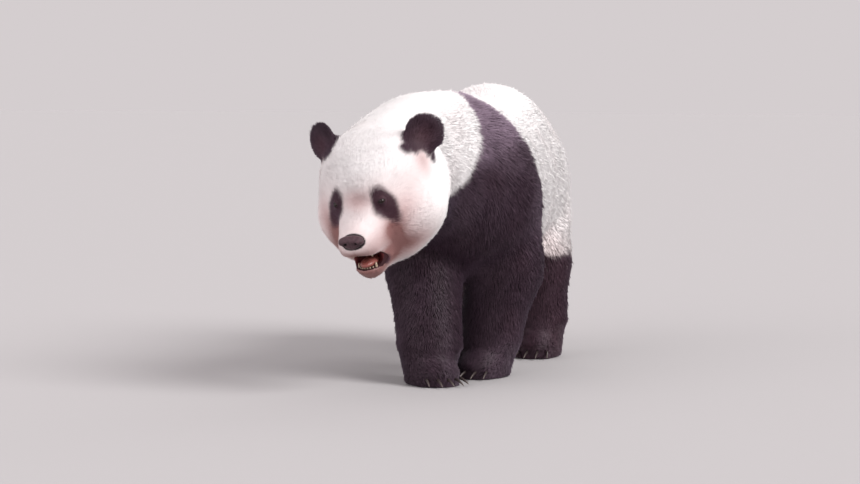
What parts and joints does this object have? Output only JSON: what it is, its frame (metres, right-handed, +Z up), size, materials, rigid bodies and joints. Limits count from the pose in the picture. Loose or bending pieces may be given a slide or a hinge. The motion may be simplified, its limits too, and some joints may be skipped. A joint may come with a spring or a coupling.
{
  "type": "giant panda",
  "caption": "Life-size giant panda standing in mid stride, head low and turned to its right with the mouth a little open, thick black and white coat.",
  "frame": {"origin": "on the floor, under the middle of the animal's bounding box", "axes": "+Z up, -Y the way the animal walks, +X its left side"},
  "size_m": [0.583, 1.4342, 0.7772],
  "materials": {
    "white_coat": "dense coarse fur, matt, cream white with warmer stains",
    "black_coat": "dense coarse fur, brownish black with a soft sheen",
    "nose": "bare pebbled skin, slightly moist",
    "eye": "dark brown, wet and glossy",
    "claw": "horn, grey brown with paler tips",
    "tooth": "ivory, slightly glossy",
    "tongue": "moist pink flesh"
  },
  "bodies": {
    "root": {"trunk": "white_coat", "neck": "white_coat", "head": "white_coat", "lower_jaw": "white_coat", "nose": "nose", "tongue": "tongue", "eye_left": "eye", "ear_left": "black_coat", "canine_lower_left": "tooth", "canine_upper_left": "tooth", "eye_right": "eye", "ear_right": "black_coat", "canine_lower_right": "tooth", "canine_upper_right": "tooth", "tail": "white_coat", "front_right_upper_leg": "black_coat", "front_right_lower_leg": "black_coat", "front_right_paw": "black_coat", "front_right_claw_1": "claw", "front_right_claw_2": "claw", "front_right_claw_3": "claw", "front_right_claw_4": "claw", "front_right_claw_5": "claw", "front_left_upper_leg": "black_coat", "front_left_lower_leg": "black_coat", "front_left_paw": "black_coat", "front_left_claw_1": "claw", "front_left_claw_2": "claw", "front_left_claw_3": "claw", "front_left_claw_4": "claw", "front_left_claw_5": "claw", "hind_right_upper_leg": "black_coat", "hind_right_lower_leg": "black_coat", "hind_right_paw": "black_coat", "hind_right_claw_1": "claw", "hind_right_claw_2": "claw", "hind_right_claw_3": "claw", "hind_right_claw_4": "claw", "hind_right_claw_5": "claw", "hind_left_upper_leg": "black_coat", "hind_left_lower_leg": "black_coat", "hind_left_paw": "black_coat", "hind_left_claw_1": "claw", "hind_left_claw_2": "claw", "hind_left_claw_3": "claw", "hind_left_claw_4": "claw", "hind_left_claw_5": "claw"}
  },
  "joints": []
}
